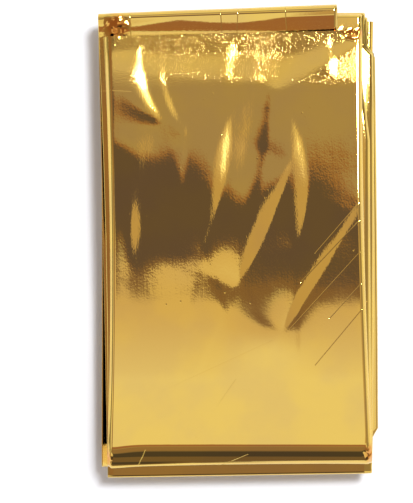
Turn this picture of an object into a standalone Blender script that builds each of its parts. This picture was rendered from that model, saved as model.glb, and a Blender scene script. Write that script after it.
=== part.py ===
"""An emergency foil blanket, folded small.

The blanket is one rectangle of metallised film. It is folded lengthwise into a narrow strip of many
films, and the strip is then folded back and forth across its length into a flat pack. Here one ply of
the pack is that whole strip, pressed together, so the solid is a single back-and-forth section of plies.
The strip lies a little askew at each turn, which gives the pack its stepped outline.

+X is across the pack, +Y runs from the rolled end up to the free end, and +Z is up. The lowest ply
lies flat on Z = 0, and the origin is under the middle of the pack.
"""

import math
from collections import namedtuple

import bmesh
import bpy

MM = 0.001

# the strip
PLY_THICKNESS = 1.0 * MM
PLY_GAP = 0.35 * MM
PLY_PITCH = PLY_THICKNESS + PLY_GAP

# How the springy plies differ from a flat, tight stack. Each is what the top ply would do, and the
# plies below it do a share of it that falls to nothing at the lowest one.
CROWN = 1.5 * MM  # rise at the middle of the pack
CROWN_HALF_LENGTH = 62.0 * MM
SIDE_DROP = 0.5 * MM  # fall at the long edges
SIDE_DROP_START = 35.0 * MM
SIDE_DROP_RUN = 3.0 * MM
END_DROP_START = 56.0 * MM  # from here the turns sag towards the ends
END_DROP_RUN = 10.0 * MM
ROLLED_END_DROP = 2.0 * MM  # fall at the -Y end
FREE_END_DROP = 0.8 * MM  # fall at the +Y end

# The last turn has nothing pressing on it, so the top ply stands up in a nose behind it.
TOP_TURN_RADIUS = 1.1 * MM
NOSE_RISE = 2.3 * MM
NOSE_RUN = 5.4 * MM
NOSE_SLOPE = math.atan(2 * NOSE_RISE / NOSE_RUN)

# near a turn the strip's corners can be tucked in
TUCK_LENGTH = 7.5 * MM
TUCK_FADE = 3.0 * MM

# The strip's turns in order, in millimetres, from its first end under the pack to its last end on top.
# reach is the furthest point of the turn at mid-width, and slant is how much further along Y its
# right end lies than its left.
Turn = namedtuple("Turn", "left right reach slant tuck_left tuck_right")
TURNS = (
    Turn(left=-36.9, right=38.6, reach=63.4, slant=-0.8, tuck_left=0.0, tuck_right=0.0),
    Turn(left=-37.4, right=38.1, reach=-64.3, slant=0.6, tuck_left=0.0, tuck_right=1.2),
    Turn(left=-38.7, right=36.8, reach=64.7, slant=0.7, tuck_left=1.0, tuck_right=1.6),
    Turn(left=-38.2, right=37.3, reach=-63.8, slant=-0.5, tuck_left=0.0, tuck_right=0.0),
    Turn(left=-37.1, right=38.5, reach=64.0, slant=-0.4, tuck_left=0.0, tuck_right=2.0),
    Turn(left=-36.4, right=39.5, reach=-64.9, slant=0.4, tuck_left=0.0, tuck_right=1.8),
    Turn(left=-37.5, right=38.2, reach=64.5, slant=0.5, tuck_left=0.6, tuck_right=2.6),
    Turn(left=-38.6, right=37.0, reach=-64.1, slant=-0.3, tuck_left=0.0, tuck_right=0.0),
    Turn(left=-38.9, right=37.6, reach=63.9, slant=0.0, tuck_left=0.0, tuck_right=3.1),
    Turn(left=-36.8, right=37.4, reach=-66.2, slant=1.2, tuck_left=0.0, tuck_right=0.0),
    Turn(left=-39.5, right=36.4, reach=64.6, slant=2.4, tuck_left=0.0, tuck_right=9.0),
    Turn(left=-36.6, right=37.0, reach=-62.6, slant=1.0, tuck_left=0.0, tuck_right=0.0),
    Turn(left=-37.8, right=34.3, reach=57.8, slant=2.0, tuck_left=0.0, tuck_right=0.0),
)
PLIES = len(TURNS) - 1
TOP_TURN = PLIES - 1

# How far each ply's long edges draw in between its two turns, in millimetres, lowest ply first.
Waist = namedtuple("Waist", "left right")
WAISTS = (
    Waist(left=0.2, right=0.5),
    Waist(left=0.6, right=-0.3),
    Waist(left=-0.2, right=0.4),
    Waist(left=0.4, right=0.2),
    Waist(left=0.1, right=-0.2),
    Waist(left=0.5, right=-0.1),
    Waist(left=-0.1, right=0.6),
    Waist(left=0.3, right=0.3),
    Waist(left=0.6, right=-0.4),
    Waist(left=0.2, right=0.5),
    Waist(left=0.9, right=0.2),
    Waist(left=1.4, right=1.0),
)

# the grid that is folded
COLUMNS = (0.0, 0.03, 0.08, 0.28, 0.5, 0.72, 0.92, 0.97, 1.0)
END_ROWS = (0.0, 1.5 * MM, 4.0 * MM, 7.5 * MM, 10.5 * MM)  # distances from a turn
MIDDLE_ROWS = 5
BEND_STEPS = 6


def blend(a, b, share):
    return a + (b - a) * share


def ease(share):
    """A smooth step from 0 to 1."""
    share = min(max(share, 0.0), 1.0)
    return share * share * (3.0 - 2.0 * share)


def turn_side(turn):
    """+1 for a turn at the pack's +Y end, -1 for one at its -Y end."""
    return 1 if TURNS[turn].reach > 0 else -1


def bend_radius(turn):
    """Radius of the middle of the strip where it turns. The strip's two ends have no bend."""
    if turn in (0, PLIES):
        return 0.0
    return TOP_TURN_RADIUS if turn == TOP_TURN else PLY_PITCH / 2


def last_angle(turn):
    """How far a bend turns. The top one stops early, where the top ply's nose goes on from it."""
    return math.pi - NOSE_SLOPE if turn == TOP_TURN else math.pi


def bend_centre(turn, across):
    """Y of a bend's centre, where the ply below it ends, at a share of the strip's width."""
    row = TURNS[turn]
    reach = (row.reach + row.slant * (across - 0.5)) * MM
    bend = bend_radius(turn) + PLY_THICKNESS / 2 if bend_radius(turn) else 0.0
    return reach - turn_side(turn) * bend


def ply_start(ply, across):
    """Y where a ply starts, after the bend below it."""
    turn = ply - 1
    return bend_centre(turn, across) + turn_side(turn) * bend_radius(turn) * math.sin(last_angle(turn))


def tuck(distance):
    """Share of a corner's tuck that is left at a distance from its turn."""
    return 1.0 - ease((distance - TUCK_LENGTH) / TUCK_FADE)


def edge(ply, y, side):
    """X of a ply's left or right long edge."""
    first, last = TURNS[ply - 1], TURNS[ply]
    first_y, last_y = ply_start(ply, 0.5), bend_centre(ply, 0.5)
    along = min(max((y - first_y) / (last_y - first_y), 0.0), 1.0)
    draw_in = 4.0 * along * (1.0 - along)
    near_first, near_last = tuck(abs(y - first_y)), tuck(abs(y - last_y))
    if side == "left":
        inward = first.tuck_left * near_first + last.tuck_left * near_last
        return (blend(first.left, last.left, along) + WAISTS[ply - 1].left * draw_in + inward) * MM
    inward = first.tuck_right * near_first + last.tuck_right * near_last
    return (blend(first.right, last.right, along) - WAISTS[ply - 1].right * draw_in - inward) * MM


def nose_rise(y):
    """How far the top ply stands above its place in a tight stack."""
    start, free = ply_start(PLIES, 0.5), bend_centre(PLIES, 0.5)
    at_turn = TOP_TURN_RADIUS * (1.0 + math.cos(NOSE_SLOPE)) - PLY_PITCH
    up = min(max((y - start) / NOSE_RUN, 0.0), 1.0)
    lean = min(max((free - y) / (free - start), 0.0), 1.0)
    return (at_turn + NOSE_RISE * (1.0 - (1.0 - up) ** 2)) * lean


def height(ply, x, y):
    """Z of the middle of a ply."""
    share = (ply - 1) / (PLIES - 1)
    crown = CROWN * max(1.0 - (y / CROWN_HALF_LENGTH) ** 2, 0.0)
    side_drop = SIDE_DROP * ease((abs(x) - SIDE_DROP_START) / SIDE_DROP_RUN)
    end_drop = ROLLED_END_DROP if y < 0 else FREE_END_DROP
    end_drop *= max((abs(y) - END_DROP_START) / END_DROP_RUN, 0.0) ** 1.5
    z = PLY_THICKNESS / 2 + (ply - 1) * PLY_PITCH + share * (crown - side_drop)
    if ply == PLIES:
        return z + nose_rise(y)
    return z - share * end_drop


def ply_point(ply, share, offset, across):
    """A point of a ply. Its row lies at a share of the ply's length, moved on by an offset."""
    first_y, last_y = ply_start(ply, across), bend_centre(ply, across)
    y = blend(first_y, last_y, share) + turn_side(ply) * offset
    x = blend(edge(ply, y, "left"), edge(ply, y, "right"), across)
    return x, y, height(ply, x, y)


def bend_point(turn, angle, across):
    """A point of a bend. The angle starts from 0 on the ply below."""
    centre_y = bend_centre(turn, across)
    x, _, low = ply_point(turn, 1.0, 0.0, across)
    radius = TOP_TURN_RADIUS if turn == TOP_TURN else (height(turn + 1, x, centre_y) - low) / 2
    y = centre_y + turn_side(turn) * radius * math.sin(angle)
    return x, y, low + radius * (1.0 - math.cos(angle))


def ply_rows(ply):
    """The rows of a ply, each with its points across the strip."""
    last_step = END_ROWS[-1]
    rows = [(0.0, step) for step in END_ROWS]
    for number in range(1, MIDDLE_ROWS + 1):
        share = number / (MIDDLE_ROWS + 1)
        rows.append((share, last_step * (1.0 - 2.0 * share)))
    rows += [(1.0, -step) for step in reversed(END_ROWS)]
    return [[ply_point(ply, share, offset, across) for across in COLUMNS] for share, offset in rows]


def bend_rows(turn):
    angles = [last_angle(turn) * step / BEND_STEPS for step in range(1, BEND_STEPS)]
    return [[bend_point(turn, angle, across) for across in COLUMNS] for angle in angles]


def strip_rows():
    rows = []
    for ply in range(1, PLIES + 1):
        rows += ply_rows(ply)
        if ply < PLIES:
            rows += bend_rows(ply)
    return rows


def clear_scene():
    for old in list(bpy.data.objects):
        bpy.data.objects.remove(old, do_unlink=True)


def new_collection(name):
    collection = bpy.data.collections.new(name)
    bpy.context.scene.collection.children.link(collection)
    return collection


def gold_film():
    material = bpy.data.materials.new("gold_film")
    material.use_nodes = True
    shader = material.node_tree.nodes["Principled BSDF"]
    shader.inputs["Base Color"].default_value = (0.84, 0.56, 0.13, 1.0)
    shader.inputs["Metallic"].default_value = 1.0
    shader.inputs["Roughness"].default_value = 0.18
    return material


def fold_strip(rows):
    """A flat grid whose points are laid along the folded strip, centred over the origin."""
    grid = bmesh.new()
    bmesh.ops.create_grid(grid, x_segments=len(COLUMNS) - 1, y_segments=len(rows) - 1, size=1.0)
    places = [point for row in rows for point in row]
    middle_x = (min(p[0] for p in places) + max(p[0] for p in places)) / 2
    middle_y = (min(p[1] for p in places) + max(p[1] for p in places)) / 2
    for vertex, (x, y, z) in zip(grid.verts, places):
        vertex.co = (x - middle_x, y - middle_y, z)
    mesh = bpy.data.meshes.new("blanket")
    grid.to_mesh(mesh)
    grid.free()
    return mesh


def make_blanket(collection):
    blanket = bpy.data.objects.new("blanket", fold_strip(strip_rows()))
    collection.objects.link(blanket)
    blanket.data.materials.append(gold_film())
    blanket.data.shade_smooth()
    thickness = blanket.modifiers.new("ply thickness", "SOLIDIFY")
    thickness.thickness = PLY_THICKNESS
    thickness.offset = 0.0
    thickness.use_even_offset = True
    return blanket


clear_scene()
make_blanket(new_collection("foil_blanket"))
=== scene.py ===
"""The looks of the folded emergency foil blanket.

The whole blanket is one thin sheet, 2.1 m by 1.6 m. Its width is folded into a strip of FILMS films,
and the strip runs back and forth along the CAD model's plies. A row of the mesh is one line across the
sheet, and a column is one line along it, so a row follows the strip's folded cross-section and the rows
follow the pack's turns. Lengths in the tables are in millimetres. The sheet is built where the tables
say and then moved as the CAD model is, so that its middle lies over the frame's origin.
"""

import math
from collections import namedtuple

import bpy
import numpy as np
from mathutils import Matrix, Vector


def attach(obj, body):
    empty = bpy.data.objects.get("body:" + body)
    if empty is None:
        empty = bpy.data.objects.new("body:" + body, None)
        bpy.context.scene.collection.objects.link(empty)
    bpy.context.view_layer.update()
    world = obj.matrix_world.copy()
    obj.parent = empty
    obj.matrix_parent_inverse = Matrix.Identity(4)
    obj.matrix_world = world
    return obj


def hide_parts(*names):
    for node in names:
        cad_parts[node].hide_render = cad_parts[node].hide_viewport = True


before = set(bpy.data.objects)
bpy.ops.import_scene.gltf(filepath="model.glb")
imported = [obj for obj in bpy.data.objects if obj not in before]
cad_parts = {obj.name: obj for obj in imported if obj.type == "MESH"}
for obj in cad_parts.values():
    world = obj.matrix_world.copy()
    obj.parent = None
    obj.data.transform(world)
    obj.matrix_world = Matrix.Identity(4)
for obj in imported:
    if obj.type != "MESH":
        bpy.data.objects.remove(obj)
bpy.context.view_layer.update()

MM = 0.001

# ---- the strip's plies and turns, as in the CAD model --------------------------------------------

PLY_THICKNESS = 1.0 * MM
PLY_GAP = 0.35 * MM
PLY_PITCH = PLY_THICKNESS + PLY_GAP
CROWN = 1.5 * MM
CROWN_HALF_LENGTH = 62.0 * MM
SIDE_DROP = 0.5 * MM
SIDE_DROP_START = 35.0 * MM
SIDE_DROP_RUN = 3.0 * MM
END_DROP_START = 56.0 * MM
END_DROP_RUN = 10.0 * MM
END_DROP_POWER = 1.5
ROLLED_END_DROP = 2.0 * MM
FREE_END_DROP = 0.8 * MM
TOP_TURN_RADIUS = 1.1 * MM
NOSE_RISE = 2.3 * MM
NOSE_RUN = 5.4 * MM
NOSE_SLOPE = math.atan(2 * NOSE_RISE / NOSE_RUN)
TUCK_LENGTH = 7.5 * MM
TUCK_FADE = 3.0 * MM

Turn = namedtuple("Turn", "left right reach slant tuck_left tuck_right")
TURNS = (
    Turn(left=-36.9, right=38.6, reach=63.4, slant=-0.8, tuck_left=0.0, tuck_right=0.0),
    Turn(left=-37.4, right=38.1, reach=-64.3, slant=0.6, tuck_left=0.0, tuck_right=1.2),
    Turn(left=-38.7, right=36.8, reach=64.7, slant=0.7, tuck_left=1.0, tuck_right=1.6),
    Turn(left=-38.2, right=37.3, reach=-63.8, slant=-0.5, tuck_left=0.0, tuck_right=0.0),
    Turn(left=-37.1, right=38.5, reach=64.0, slant=-0.4, tuck_left=0.0, tuck_right=2.0),
    Turn(left=-36.4, right=39.5, reach=-64.9, slant=0.4, tuck_left=0.0, tuck_right=1.8),
    Turn(left=-37.5, right=38.2, reach=64.5, slant=0.5, tuck_left=0.6, tuck_right=2.6),
    Turn(left=-38.6, right=37.0, reach=-64.1, slant=-0.3, tuck_left=0.0, tuck_right=0.0),
    Turn(left=-38.9, right=37.6, reach=63.9, slant=0.0, tuck_left=0.0, tuck_right=3.1),
    Turn(left=-36.8, right=37.4, reach=-66.2, slant=1.2, tuck_left=0.0, tuck_right=0.0),
    Turn(left=-39.5, right=36.4, reach=64.6, slant=2.4, tuck_left=0.0, tuck_right=9.0),
    Turn(left=-36.6, right=37.0, reach=-62.6, slant=1.0, tuck_left=0.0, tuck_right=0.0),
    Turn(left=-37.8, right=34.3, reach=57.8, slant=2.0, tuck_left=0.0, tuck_right=0.0),
)
PLIES = len(TURNS) - 1
TOP_TURN = PLIES - 1
FLAP = PLIES - 1  # the ply that shows beyond the top ply's free end

Waist = namedtuple("Waist", "left right")
WAISTS = (
    Waist(left=0.2, right=0.5),
    Waist(left=0.6, right=-0.3),
    Waist(left=-0.2, right=0.4),
    Waist(left=0.4, right=0.2),
    Waist(left=0.1, right=-0.2),
    Waist(left=0.5, right=-0.1),
    Waist(left=-0.1, right=0.6),
    Waist(left=0.3, right=0.3),
    Waist(left=0.6, right=-0.4),
    Waist(left=0.2, right=0.5),
    Waist(left=0.9, right=0.2),
    Waist(left=1.4, right=1.0),
)


def blend(a, b, share):
    return a + (b - a) * share


def ease(share):
    """A smooth step from 0 to 1."""
    share = np.clip(share, 0.0, 1.0)
    return share * share * (3.0 - 2.0 * share)


def turn_side(turn):
    """+1 for a turn at the pack's +Y end, -1 for one at its -Y end."""
    return 1 if TURNS[turn].reach > 0 else -1


def bend_radius(turn):
    if turn in (0, PLIES):
        return 0.0
    return TOP_TURN_RADIUS if turn == TOP_TURN else PLY_PITCH / 2


def last_angle(turn):
    return math.pi - NOSE_SLOPE if turn == TOP_TURN else math.pi


def bend_centre(turn, across):
    row = TURNS[turn]
    reach = (row.reach + row.slant * (across - 0.5)) * MM
    bend = bend_radius(turn) + PLY_THICKNESS / 2 if bend_radius(turn) else 0.0
    return reach - turn_side(turn) * bend


def ply_start(ply, across):
    turn = ply - 1
    return bend_centre(turn, across) + turn_side(turn) * bend_radius(turn) * math.sin(last_angle(turn))


def tuck(distance):
    return 1.0 - ease((distance - TUCK_LENGTH) / TUCK_FADE)


def edges(ply, y):
    """X of a ply's left and right long edges at each y."""
    first, last = TURNS[ply - 1], TURNS[ply]
    first_y, last_y = ply_start(ply, 0.5), bend_centre(ply, 0.5)
    along = np.clip((y - first_y) / (last_y - first_y), 0.0, 1.0)
    draw_in = 4.0 * along * (1.0 - along)
    near_first, near_last = tuck(np.abs(y - first_y)), tuck(np.abs(y - last_y))
    waist = WAISTS[ply - 1]
    left = blend(first.left, last.left, along) + waist.left * draw_in
    left = left + first.tuck_left * near_first + last.tuck_left * near_last
    right = blend(first.right, last.right, along) - waist.right * draw_in
    right = right - first.tuck_right * near_first - last.tuck_right * near_last
    return left * MM, right * MM


def nose_rise(y):
    start, free = ply_start(PLIES, 0.5), bend_centre(PLIES, 0.5)
    at_turn = TOP_TURN_RADIUS * (1.0 + math.cos(NOSE_SLOPE)) - PLY_PITCH
    up = np.clip((y - start) / NOSE_RUN, 0.0, 1.0)
    lean = np.clip((free - y) / (free - start), 0.0, 1.0)
    return (at_turn + NOSE_RISE * (1.0 - (1.0 - up) ** 2)) * lean


def height(ply, x, y):
    """Z of the middle of a ply."""
    share = (ply - 1) / (PLIES - 1)
    crown = CROWN * np.maximum(1.0 - (y / CROWN_HALF_LENGTH) ** 2, 0.0)
    side_drop = SIDE_DROP * ease((np.abs(x) - SIDE_DROP_START) / SIDE_DROP_RUN)
    end_drop = np.where(y < 0, ROLLED_END_DROP, FREE_END_DROP)
    past_start = np.maximum((np.abs(y) - END_DROP_START) / END_DROP_RUN, 0.0)
    end_drop = end_drop * past_start**END_DROP_POWER
    z = PLY_THICKNESS / 2 + (ply - 1) * PLY_PITCH + share * (crown - side_drop)
    if ply == PLIES:
        return z + nose_rise(y)
    return z - share * end_drop


# ---- relief: what the outer films do by themselves -----------------------------------------------

# A crease is a line where the film bends sharply. To its right, looking from its start to its end, the
# film rises at a slope that fades out over the crease's width, and then it settles back. With a slope
# below 0 the film falls instead. Each crease is widest in its middle and bowed to its left.
Crease = namedtuple("Crease", "x0 y0 x1 y1 bow slope width settle")
TOP_CREASES = (
    Crease(x0=-27.6, y0=55.0, x1=-20.6, y1=33.0, bow=-1.6, slope=0.098, width=4.4, settle=9.5),
    Crease(x0=-21.8, y0=50.0, x1=-14.0, y1=29.4, bow=-0.9, slope=0.056, width=2.8, settle=7.0),
    Crease(x0=-14.2, y0=36.0, x1=-16.8, y1=4.0, bow=0.6, slope=0.046, width=2.4, settle=5.0),
    Crease(x0=-2.6, y0=36.0, x1=-10.4, y1=-4.0, bow=2.4, slope=0.062, width=5.0, settle=12.0),
    Crease(x0=9.0, y0=48.0, x1=2.2, y1=2.0, bow=1.8, slope=-0.080, width=3.4, settle=7.0),
    Crease(x0=14.4, y0=22.0, x1=-1.0, y1=-13.0, bow=1.8, slope=0.070, width=6.5, settle=16.0),
    Crease(x0=14.2, y0=36.0, x1=15.6, y1=-3.0, bow=4.2, slope=0.050, width=7.0, settle=9.0),
    Crease(x0=33.0, y0=9.0, x1=12.0, y1=-25.0, bow=1.0, slope=0.056, width=6.5, settle=9.0),
    Crease(x0=25.0, y0=57.0, x1=27.0, y1=45.0, bow=0.6, slope=0.075, width=2.8, settle=5.0),
    Crease(x0=-1.0, y0=56.0, x1=-3.0, y1=44.0, bow=0.6, slope=0.050, width=2.8, settle=5.0),
)

# Broad, soft swellings of the top film.
Swell = namedtuple("Swell", "x y half_x half_y rise")
TOP_SWELLS = (
    Swell(x=-17.0, y=-4.0, half_x=9.5, half_y=6.5, rise=0.14),
    Swell(x=-31.0, y=3.0, half_x=3.0, half_y=11.0, rise=0.15),
    Swell(x=8.0, y=-27.0, half_x=9.0, half_y=8.5, rise=0.18),
    Swell(x=30.0, y=8.0, half_x=8.0, half_y=9.0, rise=0.22),
    Swell(x=-31.0, y=26.0, half_x=8.0, half_y=10.0, rise=0.26),
    Swell(x=5.0, y=8.0, half_x=14.0, half_y=12.0, rise=0.10),
    Swell(x=-35.5, y=-60.5, half_x=5.0, half_y=3.0, rise=0.45),
)
TROUGH = 0.00045  # the top film is hollow across: its rise in millimetres is this times x squared

# The free end of the top ply dips and then curls up a little. curl is how long the curl is, at points
# across. The dip's start and length are given in lengths of the curl.
Curl = namedtuple("Curl", "x curl")
CURLS = (
    Curl(x=-38.0, curl=3.8),
    Curl(x=-30.0, curl=4.4),
    Curl(x=-10.0, curl=5.5),
    Curl(x=4.0, curl=6.0),
    Curl(x=11.0, curl=7.0),
    Curl(x=22.0, curl=4.8),
    Curl(x=34.0, curl=1.6),
)
DIP_START = 2.4
DIP_LENGTH = 1.5
DIP_SLOPE = 0.045
CURL_SLOPE = 0.036
CURL_ROUNDING = 1.0  # millimetres

# The flap rises from under the top ply's free end. strip and bank are how wide its first, gentle part
# and its steep part are, at points across. The crest is what follows them.
Bank = namedtuple("Bank", "x strip bank")
BANKS = (
    Bank(x=-39.0, strip=1.5, bank=2.0),
    Bank(x=-29.0, strip=1.4, bank=1.6),
    Bank(x=-24.0, strip=1.2, bank=2.6),
    Bank(x=-17.0, strip=1.1, bank=3.6),
    Bank(x=-5.0, strip=0.8, bank=2.8),
    Bank(x=1.0, strip=0.7, bank=2.8),
    Bank(x=13.0, strip=0.0, bank=4.4),
    Bank(x=28.0, strip=0.0, bank=4.6),
)
STRIP_SLOPE = 0.18
BANK_SLOPE = 0.33
CREST_SLOPE = 0.21
CREST_LENGTH = 8.0  # millimetres

CREASE_ROUNDING = 0.2  # millimetres
CREASE_TAPER = 1.4  # how pointed the creases are
CREASE_TIP = 0.02  # the share of its width that a crease keeps at its ends
TOP_CLEARANCE = 0.5 * MM  # how loosely the outer film lies over the top ply's other films
CLEARANCE_RUN = 25.0 * MM  # it reaches that clearance this far from its turn
EDGE_ROLL = 1.0 * MM  # the top film comes down to the others over this distance at its long edges


def crease_height(crease, x, y):
    """Height of one crease, in millimetres, at points given in millimetres."""
    along = np.array([crease.x1 - crease.x0, crease.y1 - crease.y0])
    length = np.hypot(*along)
    along = along / length
    share = ((x - crease.x0) * along[0] + (y - crease.y0) * along[1]) / length
    left = (y - crease.y0) * along[0] - (x - crease.x0) * along[1]
    share = np.clip(share, 0.0, 1.0)
    belly = np.sin(math.pi * share) ** CREASE_TAPER
    distance = crease.bow * 4.0 * share * (1.0 - share) - left
    distance = (distance + np.hypot(distance, CREASE_ROUNDING)) / 2
    width = crease.width * (CREASE_TIP + belly)
    rise = crease.slope * width * np.tanh(distance / width)
    return rise * np.exp(-((distance / crease.settle) ** 2))


def swell_height(swell, x, y):
    """Height of one swelling, in millimetres, at points given in millimetres."""
    away_x = (x - swell.x) / swell.half_x
    away_y = (y - swell.y) / swell.half_y
    return swell.rise * np.exp(-(away_x**2) - away_y**2)


def from_free_end(x, y):
    """How far a point lies beyond the top ply's free end, in millimetres."""
    across = (x - TURNS[PLIES].left) / (TURNS[PLIES].right - TURNS[PLIES].left)
    return y - bend_centre(PLIES, across) / MM


def free_end_height(x, y):
    """The dip and the curl of the top ply's free end, in millimetres."""
    back = -from_free_end(x, y)
    curl = np.interp(x, [row.x for row in CURLS], [row.curl for row in CURLS])
    dip = DIP_SLOPE * DIP_LENGTH * curl * ease((DIP_START * curl - back) / (DIP_LENGTH * curl))
    rise = CURL_SLOPE * 0.5 * (curl - back + np.hypot(curl - back, CURL_ROUNDING))
    return rise - dip


def top_relief(x, y):
    """Height of the outer film over the top ply, in metres."""
    x_mm, y_mm = x / MM, y / MM
    z = sum(crease_height(crease, x_mm, y_mm) for crease in TOP_CREASES)
    z = z + sum(swell_height(swell, x_mm, y_mm) for swell in TOP_SWELLS)
    z = z + free_end_height(x_mm, y_mm) + TROUGH * x_mm**2
    left, right = edges(PLIES, y)
    inside = ease(np.minimum(x - left, right - x) / EDGE_ROLL)
    lifted = ease((y - ply_start(PLIES, 0.5)) / CLEARANCE_RUN)
    return (z * MM + TOP_CLEARANCE * lifted) * inside


def flap_relief(x, y):
    """Height of the flap's upper film over its ply, in metres."""
    x_mm, y_mm = x / MM, y / MM
    out = from_free_end(x_mm, y_mm)
    place = [row.x for row in BANKS]
    strip = np.interp(x_mm, place, [row.strip for row in BANKS])
    bank = np.interp(x_mm, place, [row.bank for row in BANKS])
    z = STRIP_SLOPE * np.clip(out, 0.0, strip)
    z = z + BANK_SLOPE * np.clip(out - strip, 0.0, bank)
    z = z + CREST_SLOPE * np.clip(out - strip - bank, 0.0, CREST_LENGTH)
    return z * MM


# ---- columns: the sheet's width, folded into the strip -------------------------------------------

PANELS = 14  # the doubled sheet is folded into this many panels
FILMS = 2 * PANELS
OUTER = FILMS - 1  # the film on top of the top ply
SPARSE = (0.0, 0.06, 0.94, 1.0)  # the hidden films' columns
FLAP_COLUMNS = 50
OUTER_COLUMNS = 112
EDGE_CROWDING = 0.35  # how much closer the shown films' columns lie near their edges
FOLD_WANDER = 0.16 * MM  # how unevenly the films' folds line up
FOLD_INSET = 0.06 * MM  # how far the inner of two folds stays behind the outer
WANDER_RUN = 3.0 * MM  # the unevenness of a fold fades out over this distance from it
PAIR_GAP = 0.55  # between a panel's two films
PANEL_GAP = 1.2  # between two panels
GAP_UNEVENNESS = 0.5

RANDOM = np.random.default_rng(12)


def crowded(count):
    even = np.linspace(0.0, 1.0, count)
    return even - EDGE_CROWDING * np.sin(2 * math.pi * even) / (2 * math.pi)


def across_values(film):
    """Shares of the strip's width at which a film has a column, from its left edge."""
    if film == OUTER:
        return crowded(OUTER_COLUMNS)
    if film > 0:
        return np.array(SPARSE)
    return crowded(FLAP_COLUMNS)


def film_heights():
    """Each film's height in the strip, from -0.5 to 0.5 of its thickness, unevenly spaced."""
    gaps = np.where(np.arange(FILMS - 1) % 2 == 0, PAIR_GAP, PANEL_GAP)
    gaps = gaps * RANDOM.uniform(1.0 - GAP_UNEVENNESS, 1.0 + GAP_UNEVENNESS, FILMS - 1)
    return np.concatenate([[0.0], np.cumsum(gaps)]) / gaps.sum() - 0.5


def film_path():
    """The films in the order in which the sheet runs through them, each with its direction.

    The sheet is first folded double, so it runs up through all the panels and back down again.
    """
    up = [(2 * panel + (1 if panel % 2 == 0 else 0), panel % 2 == 0) for panel in range(PANELS)]
    down = [(2 * panel + (0 if panel % 2 == 0 else 1), panel % 2 == 1) for panel in range(PANELS)]
    return up + down[::-1]


def columns():
    """For each column: its share of the strip's width, its film, and how far its fold stands out."""
    across, film = [], []
    for level, rightward in film_path():
        values = across_values(level)
        across.append(values if rightward else values[::-1])
        film.append(np.full(len(values), level))
    across, film = np.concatenate(across), np.concatenate(film)
    # The four films that meet at one fold of the doubled sheet share one wander.
    group = np.where(across < 0.5, (film + 2) // 4 + FILMS, film // 4)
    inner = np.where(across < 0.5, np.isin(film % 4, (3, 0)), np.isin(film % 4, (1, 2)))
    wander = RANDOM.uniform(-1.0, 1.0, 2 * FILMS)[group] * FOLD_WANDER - inner * FOLD_INSET
    return across, film, wander


# ---- rows: the sheet's length, folded back and forth ---------------------------------------------

LOOSE_FILL = 0.85  # how much of the gap under the risen top ply its films fan out to fill
NOSE_LENGTH = 7.0 * MM  # of the top ply's rolled nose, where its rows lie closely
NOSE_ROWS = 20
TOP_ROWS = 96
FREE_END_LENGTH = 14.0 * MM  # of the top ply's free end, where its rows lie closely too
FREE_END_ROWS = 24
LOWEST_SHOWN_PLY = FLAP - 2  # from this ply up, the ends are drawn finely
LOWEST_SHOWN_TURN = FLAP - 3
SHOWN_END_ROWS = 16
HIDDEN_ROWS = 4
LOWEST_ROWS = 12
BEND_STEPS = 5
SHOWN_BEND_STEPS = 12

# A row lies either on a ply, at a share of its length moved on by an offset, or on a turn, at an angle.
Row = namedtuple("Row", "ply turn share offset angle")


def top_ply_steps():
    length = bend_centre(PLIES, 0.5) - ply_start(PLIES, 0.5)
    nose = np.linspace(0.0, NOSE_LENGTH, NOSE_ROWS) / length
    free = 1.0 - np.linspace(FREE_END_LENGTH, 0.0, FREE_END_ROWS) / length
    middle = np.linspace(nose[-1], free[0], TOP_ROWS)[1:-1]
    return [(share, 0.0) for share in np.concatenate([nose, middle, free])]


def ply_steps(ply):
    """A ply's rows, each at a share of its length moved on by an offset."""
    if ply == PLIES:
        return top_ply_steps()
    end = TUCK_LENGTH + TUCK_FADE
    near = [0.0, TUCK_LENGTH, end]
    first = near
    if ply >= LOWEST_SHOWN_PLY:
        first = list(np.linspace(0.0, TUCK_LENGTH, SHOWN_END_ROWS)) + [end]
    middle = LOWEST_ROWS if ply == 1 else HIDDEN_ROWS
    steps = [(0.0, step) for step in first]
    for number in range(1, middle):
        share = number / middle
        steps.append((share, end * (1.0 - 2.0 * share)))
    return steps + [(1.0, -step) for step in reversed(near)]


def rows():
    made = []
    for ply in range(1, PLIES + 1):
        made += [Row(ply, None, share, offset, None) for share, offset in ply_steps(ply)]
        if ply < PLIES:
            count = SHOWN_BEND_STEPS if ply >= LOWEST_SHOWN_TURN else BEND_STEPS
            angles = [last_angle(ply) * step / count for step in range(1, count)]
            made += [Row(ply, ply, None, None, angle) for angle in angles]
    return made


def loose(y):
    """How many times their pressed thickness the top ply's films fan out to."""
    return 1.0 + LOOSE_FILL * nose_rise(y) / PLY_THICKNESS


def film_offset(ply, film, level, x, y):
    """How far each film lies from the middle of its ply, towards its outer side."""
    if ply < PLIES:
        offset = level * PLY_THICKNESS
        if ply == FLAP:
            offset = offset - np.where(film == 0, flap_relief(x, y), 0.0)
        return offset
    offset = (0.5 - (0.5 - level) * loose(y)) * PLY_THICKNESS
    return offset + np.where(film == OUTER, top_relief(x, y), 0.0)


def straight_row(row, across, film, level, wander):
    """A row of a ply. Its films' outer side is up on every second ply."""
    first_y, last_y = ply_start(row.ply, across), bend_centre(row.ply, across)
    y = blend(first_y, last_y, row.share) + turn_side(row.ply) * row.offset
    x = across_x(row.ply, y, across, wander)
    outward = 1.0 if row.ply % 2 == 0 else -1.0
    z = height(row.ply, x, y) + outward * film_offset(row.ply, film, level, x, y)
    return np.stack([x, y, z], axis=1)


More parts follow.
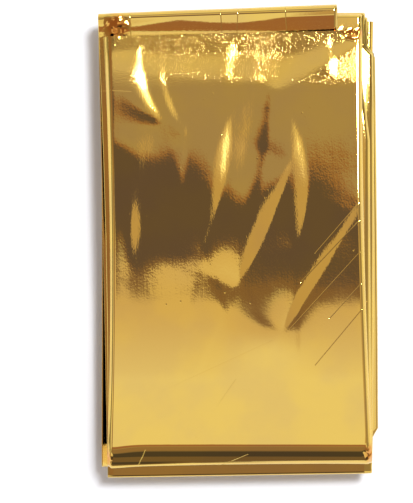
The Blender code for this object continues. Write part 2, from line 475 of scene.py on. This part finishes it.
def bend_row(row, across, film, level, wander):
    """A row of a turn, at an angle from the ply below it."""
    side = turn_side(row.turn)
    y = bend_centre(row.turn, across)
    x = across_x(row.turn, y, across, wander)
    low, high = height(row.turn, x, y), height(row.turn + 1, x, y)
    radius = TOP_TURN_RADIUS if row.turn == TOP_TURN else (high - low) / 2
    turned = row.angle / last_angle(row.turn)
    start = film_offset(row.turn, film, level, x, y)
    end = film_offset(row.turn + 1, film, level, x, ply_start(row.turn + 1, across))
    outward = -1.0 if row.turn % 2 == 1 else 1.0
    # The films fan out only late in the turn.
    offset = blend(start, end, ease(turned) ** 3)
    sine, cosine = math.sin(row.angle), math.cos(row.angle)
    radial = radius - outward * offset
    return np.stack([x, y + side * radial * sine, low + radius - radial * cosine], axis=1)


def across_x(ply, y, across, wander):
    left, right = edges(ply, y)
    from_edge = np.minimum(across, 1.0 - across) * (right - left)
    near_edge = np.clip(1.0 - from_edge / WANDER_RUN, 0.0, 1.0)
    return blend(left, right, across) + np.where(across < 0.5, -1, 1) * wander * near_edge


def pack_middle():
    """The middle of the box around the plies' middle surface. The CAD model is moved by it too."""
    across = np.linspace(0.0, 1.0, 9)
    hidden_film = np.full(len(across), 1)
    made = []
    for row in rows():
        place = bend_row if row.turn else straight_row
        made.append(place(row, across, hidden_film, 0.0, 0.0))
    low, high = np.min(made, axis=(0, 1)), np.max(made, axis=(0, 1))
    return np.array([(low[0] + high[0]) / 2, (low[1] + high[1]) / 2, 0.0])


def sheet_points():
    across, film, wander = columns()
    level = film_heights()[film]
    made = []
    for row in rows():
        place = bend_row if row.turn else straight_row
        made.append(place(row, across, film, level, wander))
    return np.array(made) - pack_middle()


# ---- the sheet -----------------------------------------------------------------------------------

# How much of the map a film and a ply get for their size. The ones that show get the most.
SHOWN_FILM_SHARES = {OUTER: 1.0, 0: 0.45}
HIDDEN_FILM_SHARE = 0.02
TOP_PLY_SHARE = 1.0
UPPER_PLY_SHARE = 0.25
LOWER_PLY_SHARE = 0.08
LEAST_WIDTH = 0.01  # added to the width between columns, which is a share of the strip's width
LEAST_LENGTH = 0.1 * MM  # added to the length between rows
FOLD_WIDTH = 0.002  # from one film to the next


def spread(sizes):
    """Places from 0 to 1 along a map's side, with gaps in proportion to the sizes."""
    return np.concatenate([[0.0], np.cumsum(sizes)]) / np.sum(sizes)


def map_places(points):
    """U of each column and V of each row of the map that the looks can be baked to.

    It is the flat sheet, with the films and plies that show drawn out and the hidden ones drawn in.
    """
    across, film, _ = columns()
    widths = np.abs(np.diff(across)) + LEAST_WIDTH
    weight = np.array([SHOWN_FILM_SHARES.get(level, HIDDEN_FILM_SHARE) for level in film])
    folds = film[:-1] != film[1:]
    u = spread(np.where(folds, FOLD_WIDTH, widths * np.minimum(weight[:-1], weight[1:])))
    ply = np.array([row.ply for row in rows()])
    lengths = np.linalg.norm(np.diff(points[:, 0], axis=0), axis=1) + LEAST_LENGTH
    share = np.where(ply >= LOWEST_SHOWN_PLY, UPPER_PLY_SHARE, LOWER_PLY_SHARE)
    share = np.where(ply == PLIES, TOP_PLY_SHARE, share)
    v = spread(lengths * share[:-1])
    return u, v


def sheet_mesh(name, points):
    count_rows, count_columns = points.shape[:2]
    index = np.arange(count_rows * count_columns).reshape(count_rows, count_columns)
    corners = (index[:-1, :-1], index[:-1, 1:], index[1:, 1:], index[1:, :-1])
    faces = np.stack([corner.ravel() for corner in corners], axis=1)
    mesh = bpy.data.meshes.new(name)
    mesh.from_pydata(points.reshape(-1, 3).tolist(), [], faces.tolist())
    mesh.shade_smooth()
    u, v = map_places(points)
    places = np.stack(np.meshgrid(u, v), axis=2).reshape(-1, 2)
    layer = mesh.uv_layers.new(name="OFBake")
    layer.data.foreach_set("uv", places[faces.ravel()].ravel())
    return mesh


# ---- nodes ---------------------------------------------------------------------------------------


def feed(tree, socket, value):
    """Set a socket to a plain value, or link another node's output to it."""
    if isinstance(value, bpy.types.NodeSocket):
        tree.links.new(value, socket)
    else:
        socket.default_value = value


def math_node(tree, operation, first, second=0.0):
    node = tree.nodes.new("ShaderNodeMath")
    node.operation = operation
    feed(tree, node.inputs[0], first)
    feed(tree, node.inputs[1], second)
    return node.outputs[0]


def vector_node(tree, operation, first, second=(0.0, 0.0, 0.0), scale=1.0):
    node = tree.nodes.new("ShaderNodeVectorMath")
    node.operation = operation
    feed(tree, node.inputs[0], first)
    if operation == "SCALE":
        feed(tree, node.inputs["Scale"], scale)
    else:
        feed(tree, node.inputs[1], second)
    return node.outputs["Value" if operation in ("DOT_PRODUCT", "LENGTH") else "Vector"]


def step_node(tree, value, start, end):
    """A smooth step of a value, from 0 at its start to 1 at its end."""
    node = tree.nodes.new("ShaderNodeMapRange")
    node.interpolation_type = "SMOOTHSTEP"
    feed(tree, node.inputs["Value"], value)
    feed(tree, node.inputs["From Min"], start)
    feed(tree, node.inputs["From Max"], end)
    return node.outputs[0]


def times(tree, values):
    product = values[0]
    for value in values[1:]:
        product = math_node(tree, "MULTIPLY", product, value)
    return product


def mix_color(tree, share, first, second):
    node = tree.nodes.new("ShaderNodeMix")
    node.data_type = "RGBA"
    feed(tree, node.inputs["Factor"], share)
    feed(tree, node.inputs["A"], first)
    feed(tree, node.inputs["B"], second)
    return node.outputs["Result"]


# ---- the gold film -------------------------------------------------------------------------------

GOLD = (0.86, 0.595, 0.135, 1.0)
GOLD_WORN = (0.80, 0.55, 0.15, 1.0)
# Painted reflection: an orange base colour laid on the crumpled corners, standing in for the film
# mirroring the film beside it.
GOLD_PAINTED_REFLECTION = (0.76, 0.34, 0.07, 1.0)  # where the crumpled film mirrors the film beside it

# Texture that is too fine for the mesh. cell is its grain in millimetres along X and Y, and height is
# its depth in millimetres. It shows from low_y to high_y, and fades out beyond them over the fade.
Grain = namedtuple("Grain", "kind cell_x cell_y height low_y high_y fade")
GRAINS = (
    Grain(kind="noise", cell_x=0.36, cell_y=0.42, height=0.025, low_y=47.0, high_y=57.5, fade=6.0),
    Grain(kind="noise", cell_x=0.45, cell_y=0.6, height=0.0045, low_y=-6.0, high_y=50.0, fade=10.0),
    Grain(kind="noise", cell_x=0.7, cell_y=12.0, height=0.0028, low_y=-10.0, high_y=50.0, fade=8.0),
    Grain(kind="noise", cell_x=6.0, cell_y=9.0, height=0.018, low_y=-6.0, high_y=50.0, fade=14.0),
    Grain(kind="noise", cell_x=0.5, cell_y=0.5, height=0.0010, low_y=-90.0, high_y=90.0, fade=1.0),
    Grain(kind="speck", cell_x=2.0, cell_y=2.6, height=0.006, low_y=-16.0, high_y=44.0, fade=8.0),
)
SPECK_SWARMS = 90.0  # the specks keep to swarms, about this many to a metre
SWARM_EDGE = 0.55  # where the noise that places the swarms is below this, there are no specks
SWARM_CORE = 0.62  # where it is above this, the specks are at their full depth
SPECK_EDGE = 0.14  # how far a speck reaches, in cells
SPECK_CORE = 0.04  # how far its full depth reaches, in cells

# Hairline creases, pressed into the film.
Hairline = namedtuple("Hairline", "x0 y0 x1 y1 depth")
HAIRLINES = (
    Hairline(x0=36.0, y0=-16.0, x1=21.0, y1=-34.0, depth=0.016),
    Hairline(x0=35.0, y0=-10.0, x1=25.0, y1=-21.0, depth=0.014),
    Hairline(x0=34.0, y0=-2.0, x1=14.0, y1=-24.0, depth=0.010),
    Hairline(x0=35.0, y0=8.0, x1=17.0, y1=-11.0, depth=0.016),
    Hairline(x0=34.0, y0=12.0, x1=21.0, y1=-3.0, depth=0.010),
    Hairline(x0=9.0, y0=-27.0, x1=-34.0, y1=-47.0, depth=0.003),
    Hairline(x0=-1.0, y0=-38.0, x1=-12.0, y1=-54.0, depth=0.004),
    Hairline(x0=-38.0, y0=42.4, x1=-30.0, y1=42.0, depth=0.012),
    Hairline(x0=-30.2, y0=57.5, x1=-30.6, y1=64.5, depth=0.030),
    Hairline(x0=-4.8, y0=58.5, x1=-5.2, y1=65.5, depth=0.026),
    Hairline(x0=-0.6, y0=58.5, x1=-0.3, y1=65.5, depth=0.020),
    Hairline(x0=13.4, y0=58.5, x1=12.8, y1=66.0, depth=0.034),
    Hairline(x0=-26.0, y0=-57.6, x1=-28.4, y1=-62.8, depth=0.040),
    Hairline(x0=2.4, y0=-58.9, x1=-5.8, y1=-62.6, depth=0.040),
)
HAIRLINE_HALF_WIDTH = 0.14 * MM
HANDLED_ABOVE = 12.5 * MM  # only the plies above this height have hairlines and crumples
HANDLED_FADE = 1.0 * MM

# Corners where the film is crumpled. reach is how far the crumpling goes from its middle, cell is the
# size of its folds and height is their depth.
Crumple = namedtuple("Crumple", "x y reach cell height")
CRUMPLES = (
    Crumple(x=-34.0, y=60.5, reach=4.2, cell=1.8, height=0.75),
    Crumple(x=32.0, y=60.0, reach=4.6, cell=1.7, height=1.4),
    Crumple(x=-38.0, y=-60.0, reach=3.6, cell=1.4, height=0.9),
    Crumple(x=37.4, y=-58.6, reach=3.6, cell=1.4, height=0.9),
)
CRUMPLE_CORE = 0.4  # the share of its reach within which the film is fully crumpled

HAZE_CLOUDS = 60.0  # the film is hazy in soft clouds, about this many to a metre
HAZE_EDGE = 0.35  # where the noise that places the clouds is below this, the film is clear
HAZE_CORE = 0.65  # where it is above this, the film is fully hazy
CLEAR_ROUGHNESS = 0.02
HAZE_ROUGHNESS = 0.02  # added where the film is fully hazy


def grain_height(tree, place, along_y, grain):
    scale = (1.0 / (grain.cell_x * MM), 1.0 / (grain.cell_y * MM), 1.0 / (grain.cell_x * MM))
    kind = "ShaderNodeTexNoise" if grain.kind == "noise" else "ShaderNodeTexVoronoi"
    texture = tree.nodes.new(kind)
    texture.inputs["Scale"].default_value = 1.0
    texture.inputs["Detail"].default_value = 2.0 if grain.kind == "noise" else 0.0
    feed(tree, texture.inputs["Vector"], vector_node(tree, "MULTIPLY", place, scale))
    value = texture.outputs["Fac" if grain.kind == "noise" else "Distance"]
    if grain.kind == "speck":
        swarm = tree.nodes.new("ShaderNodeTexNoise")
        swarm.inputs["Scale"].default_value = SPECK_SWARMS
        tree.links.new(place, swarm.inputs["Vector"])
        in_swarm = step_node(tree, swarm.outputs["Fac"], SWARM_EDGE, SWARM_CORE)
        value = times(tree, [step_node(tree, value, SPECK_EDGE, SPECK_CORE), in_swarm])
    else:
        value = math_node(tree, "SUBTRACT", value, 0.5)
    low, high, fade = grain.low_y * MM, grain.high_y * MM, grain.fade * MM
    past_low = step_node(tree, along_y, low - fade, low)
    before_high = step_node(tree, along_y, high + fade, high)
    return times(tree, [value, past_low, before_high, grain.height * MM])


def hairline_height(tree, flat_place, hairline):
    start = Vector((hairline.x0, hairline.y0, 0.0)) * MM
    along = Vector((hairline.x1, hairline.y1, 0.0)) * MM - start
    length = along.length
    away = vector_node(tree, "SUBTRACT", flat_place, start)
    reach = vector_node(tree, "DOT_PRODUCT", away, along.normalized())
    held = math_node(tree, "MINIMUM", math_node(tree, "MAXIMUM", reach, 0.0), length)
    foot = vector_node(tree, "SCALE", tuple(along.normalized()), scale=held)
    distance = vector_node(tree, "LENGTH", vector_node(tree, "SUBTRACT", away, foot))
    return times(tree, [step_node(tree, distance, HAIRLINE_HALF_WIDTH, 0.0), -hairline.depth * MM])


def crumple_share(tree, flat_place, crumple, handled):
    """How crumpled the film is, from 0 to 1."""
    middle = (crumple.x * MM, crumple.y * MM, 0.0)
    distance = vector_node(tree, "LENGTH", vector_node(tree, "SUBTRACT", flat_place, middle))
    edge = crumple.reach * MM
    core = CRUMPLE_CORE * crumple.reach * MM
    return times(tree, [step_node(tree, distance, edge, core), handled])


def crumple_height(tree, place, crumple, share):
    texture = tree.nodes.new("ShaderNodeTexNoise")
    texture.inputs["Scale"].default_value = 1.0 / (crumple.cell * MM)
    texture.inputs["Detail"].default_value = 0.0
    tree.links.new(place, texture.inputs["Vector"])
    value = math_node(tree, "SUBTRACT", texture.outputs["Fac"], 0.5)
    return times(tree, [value, share, crumple.height * MM])


def gold_film():
    material = bpy.data.materials.new("gold_film")
    material.use_nodes = True
    tree = material.node_tree
    shader = tree.nodes["Principled BSDF"]
    shader.inputs["Metallic"].default_value = 1.0
    place = tree.nodes.new("ShaderNodeTexCoord").outputs["Object"]
    flat_place = vector_node(tree, "MULTIPLY", place, (1.0, 1.0, 0.0))
    along_y = vector_node(tree, "DOT_PRODUCT", place, (0.0, 1.0, 0.0))
    up = vector_node(tree, "DOT_PRODUCT", place, (0.0, 0.0, 1.0))
    handled = step_node(tree, up, HANDLED_ABOVE - HANDLED_FADE, HANDLED_ABOVE)
    relief = 0.0
    for grain in GRAINS:
        relief = math_node(tree, "ADD", relief, grain_height(tree, place, along_y, grain))
    for hairline in HAIRLINES:
        pressed = times(tree, [hairline_height(tree, flat_place, hairline), handled])
        relief = math_node(tree, "ADD", relief, pressed)
    # crumpled is the mask of the painted reflection in the base colour: how crumpled the film is, from
    # 0 to 1.
    crumpled = 0.0
    for crumple in CRUMPLES:
        share = crumple_share(tree, flat_place, crumple, handled)
        relief = math_node(tree, "ADD", relief, crumple_height(tree, place, crumple, share))
        crumpled = math_node(tree, "MAXIMUM", crumpled, share)
    bump = tree.nodes.new("ShaderNodeBump")
    bump.inputs["Strength"].default_value = 1.0
    bump.inputs["Distance"].default_value = 1.0
    feed(tree, bump.inputs["Height"], relief)
    tree.links.new(bump.outputs["Normal"], shader.inputs["Normal"])
    haze = tree.nodes.new("ShaderNodeTexNoise")
    haze.inputs["Scale"].default_value = HAZE_CLOUDS
    haze.inputs["Detail"].default_value = 3.0
    tree.links.new(place, haze.inputs["Vector"])
    cloud = step_node(tree, haze.outputs["Fac"], HAZE_EDGE, HAZE_CORE)
    added = math_node(tree, "MULTIPLY", cloud, HAZE_ROUGHNESS)
    feed(tree, shader.inputs["Roughness"], math_node(tree, "ADD", added, CLEAR_ROUGHNESS))
    color = mix_color(tree, cloud, GOLD, GOLD_WORN)
    # Painted reflection: the crumpled corners get an orange base colour in place of the film mirroring
    # itself.
    feed(tree, shader.inputs["Base Color"], mix_color(tree, crumpled, color, GOLD_PAINTED_REFLECTION))
    return material


# ---- studio --------------------------------------------------------------------------------------

# What the film mirrors, tuned to the reflections in the photo. The camera doesn't see it. east and
# north are how far a direction leans to +X and +Y for each unit up. A zone's south and north edges lean
# with east, and its sides spread with north. Later zones cover earlier ones.
Zone = namedtuple("Zone", "west east south north lean spread soft red green blue")
ZONES = (
    Zone(west=-9.0, east=9.0, south=0.15, north=0.60, lean=0.50, spread=0.0, soft=0.010,
         red=0.46, green=0.39, blue=0.37),
    Zone(west=-0.6, east=0.6, south=0.25, north=0.60, lean=0.0, spread=0.0, soft=0.03,
         red=0.76, green=0.69, blue=0.62),
    Zone(west=-0.9, east=0.9, south=-0.26, north=0.0067, lean=0.25, spread=0.0, soft=0.010,
         red=0.78, green=0.66, blue=0.54),
    Zone(west=-0.9, east=0.9, south=-0.26, north=-0.05, lean=0.0, spread=0.0, soft=0.05,
         red=0.96, green=0.95, blue=0.93),
    Zone(west=-0.3, east=0.3, south=-0.42, north=-0.26, lean=0.0, spread=0.0, soft=0.03,
         red=0.40, green=0.21, blue=0.17),
    Zone(west=-0.3, east=0.3, south=-1.00, north=-0.44, lean=0.0, spread=0.0, soft=0.06,
         red=0.34, green=0.24, blue=0.21),
    Zone(west=-0.06, east=0.06, south=-60.0, north=-0.95, lean=0.0, spread=0.20, soft=0.12,
         red=0.20, green=0.15, blue=0.14),
    Zone(west=-0.06, east=0.06, south=-2.60, north=-1.05, lean=0.0, spread=0.20, soft=0.12,
         red=0.085, green=0.075, blue=0.10),
    Zone(west=-0.80, east=-0.22, south=-0.70, north=0.60, lean=0.0, spread=0.0, soft=0.02,
         red=0.34, green=0.21, blue=0.16),
    Zone(west=0.06, east=0.24, south=-0.20, north=0.18, lean=0.0, spread=0.0, soft=0.01,
         red=0.62, green=0.49, blue=0.38),
    Zone(west=0.24, east=0.80, south=-0.70, north=0.60, lean=0.0, spread=0.0, soft=0.02,
         red=0.36, green=0.30, blue=0.26),
    Zone(west=-0.20, east=0.065, south=0.0067, north=0.155, lean=0.50, spread=0.0, soft=0.004,
         red=0.15, green=0.12, blue=0.17),
    Zone(west=-0.20, east=0.065, south=0.0067, north=0.020, lean=0.50, spread=0.0, soft=0.006,
         red=0.27, green=0.18, blue=0.16),
    Zone(west=-0.20, east=0.065, south=0.143, north=0.155, lean=0.50, spread=0.0, soft=0.006,
         red=0.44, green=0.25, blue=0.17),
    Zone(west=0.08, east=0.45, south=0.14, north=0.50, lean=0.0, spread=0.0, soft=0.02,
         red=0.86, green=0.75, blue=0.60),
    Zone(west=0.13, east=0.34, south=0.14, north=0.42, lean=0.0, spread=0.0, soft=0.03,
         red=4.0, green=4.0, blue=3.8),
)
SKY = (0.50, 0.47, 0.43, 1.0)
DIM_SKY = (0.24, 0.22, 0.20, 1.0)
BRIGHT_SKY = (1.00, 0.97, 0.93, 1.0)
SKY_CLOUDS = 1.7  # how closely the soft clouds of light and dark lie
DIM_BELOW = 0.38  # where the noise that places the clouds is below this, the sky is dim
BRIGHT_ABOVE = 0.62
CLEAR_SKY = 0.75  # higher up than this, the clouds give way to the plain sky around the zenith
CLEAR_SKY_FADE = 0.12
LEAST_UP = 0.02  # directions lower than this are taken to be this high
BACKGROUND = (0.92, 0.92, 0.94, 1.0)  # what the camera sees past the floor

KEY_PLACE = (0.30, 0.34, 1.20)  # metres
KEY_SIZE = (0.22, 0.26)  # metres
KEY_RADIANCE = 75.0  # white is 1

FLOOR_SIZE = 6.0  # metres
FLOOR_DROP = 0.2 * MM  # how far the floor lies under the pack
FLOOR_COLOR = (0.85, 0.89, 0.96, 1.0)
FLOOR_ROUGHNESS = 0.8

# The camera looks straight down from over this place.
CAMERA_X = -9.1 * MM
CAMERA_Y = -2.5 * MM
FRAMED_HEIGHT = 139.5 * MM  # what the picture's longer side spans at the height of the top face
TOP_FACE = 19.1 * MM
LENS = 135.0
SENSOR = 36.0


def zone_share(tree, east, north, zone):
    """How far a direction lies in a zone, from 0 to 1."""
    leaning = math_node(tree, "ADD", north, math_node(tree, "MULTIPLY", east, zone.lean))
    out = math_node(tree, "MULTIPLY", math_node(tree, "ABSOLUTE", north), zone.spread)
    from_east = math_node(tree, "SUBTRACT", east, out)
    from_west = math_node(tree, "ADD", east, out)
    soft = zone.soft
    return times(tree, [
        step_node(tree, from_west, zone.west - soft, zone.west + soft),
        step_node(tree, from_east, zone.east + soft, zone.east - soft),
        step_node(tree, leaning, zone.south - soft, zone.south + soft),
        step_node(tree, leaning, zone.north + soft, zone.north - soft),
    ])


def make_world():
    world = bpy.data.worlds.new("studio")
    world.use_nodes = True
    tree = world.node_tree
    direction = tree.nodes.new("ShaderNodeTexCoord").outputs["Generated"]
    parts = tree.nodes.new("ShaderNodeSeparateXYZ")
    tree.links.new(direction, parts.inputs[0])
    up = math_node(tree, "MAXIMUM", parts.outputs["Z"], LEAST_UP)
    east = math_node(tree, "DIVIDE", parts.outputs["X"], up)
    north = math_node(tree, "DIVIDE", parts.outputs["Y"], up)
    clouds = tree.nodes.new("ShaderNodeTexNoise")
    clouds.inputs["Scale"].default_value = SKY_CLOUDS
    clouds.inputs["Detail"].default_value = 0.0
    tree.links.new(direction, clouds.inputs["Vector"])
    brightness = step_node(tree, clouds.outputs["Fac"], DIM_BELOW, BRIGHT_ABOVE)
    cloudy = mix_color(tree, brightness, DIM_SKY, BRIGHT_SKY)
    zenith = step_node(tree, parts.outputs["Z"], CLEAR_SKY, CLEAR_SKY + CLEAR_SKY_FADE)
    color = mix_color(tree, zenith, cloudy, SKY)
    for zone in ZONES:
        zone_color = (zone.red, zone.green, zone.blue, 1.0)
        color = mix_color(tree, zone_share(tree, east, north, zone), color, zone_color)
    seen = tree.nodes.new("ShaderNodeLightPath").outputs["Is Camera Ray"]
    color = mix_color(tree, seen, color, BACKGROUND)
    tree.links.new(color, tree.nodes["Background"].inputs["Color"])
    bpy.context.scene.world = world


def area_light(name, place, target, size, radiance):
    """A rectangular light. Its radiance is what a perfect mirror would show."""
    light = bpy.data.lights.new(name, "AREA")
    light.shape = "RECTANGLE"
    light.size, light.size_y = size
    light.energy = radiance * math.pi * size[0] * size[1]
    holder = bpy.data.objects.new(name, light)
    holder.location = place
    holder.rotation_mode = "QUATERNION"
    holder.rotation_quaternion = (Vector(target) - Vector(place)).to_track_quat("-Z", "Y")
    bpy.context.scene.collection.objects.link(holder)


def make_floor():
    bpy.ops.mesh.primitive_plane_add(size=FLOOR_SIZE, location=(0.0, 0.0, -FLOOR_DROP))
    floor = bpy.context.active_object
    floor.name = "floor"
    material = bpy.data.materials.new("floor")
    material.use_nodes = True
    shader = material.node_tree.nodes["Principled BSDF"]
    shader.inputs["Base Color"].default_value = FLOOR_COLOR
    shader.inputs["Roughness"].default_value = FLOOR_ROUGHNESS
    floor.data.materials.append(material)


def make_studio():
    make_world()
    area_light("key", KEY_PLACE, (0.0, 0.0, 0.0), KEY_SIZE, KEY_RADIANCE)


def make_camera():
    camera = bpy.data.cameras.new("camera")
    camera.lens = LENS
    camera.sensor_width = SENSOR
    holder = bpy.data.objects.new("camera", camera)
    distance = FRAMED_HEIGHT * camera.lens / camera.sensor_width
    holder.location = (CAMERA_X, CAMERA_Y, TOP_FACE + distance)
    bpy.context.scene.collection.objects.link(holder)
    bpy.context.scene.camera = holder


def make_sheet():
    mesh = sheet_mesh("foil_blanket", sheet_points())
    sheet = bpy.data.objects.new("foil_blanket", mesh)
    bpy.context.scene.collection.objects.link(sheet)
    mesh.materials.append(gold_film())
    return sheet


bpy.context.scene.view_settings.view_transform = "Standard"
make_camera()
sheet = make_sheet()
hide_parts("blanket")
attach(sheet, "root")
make_floor()
make_studio()
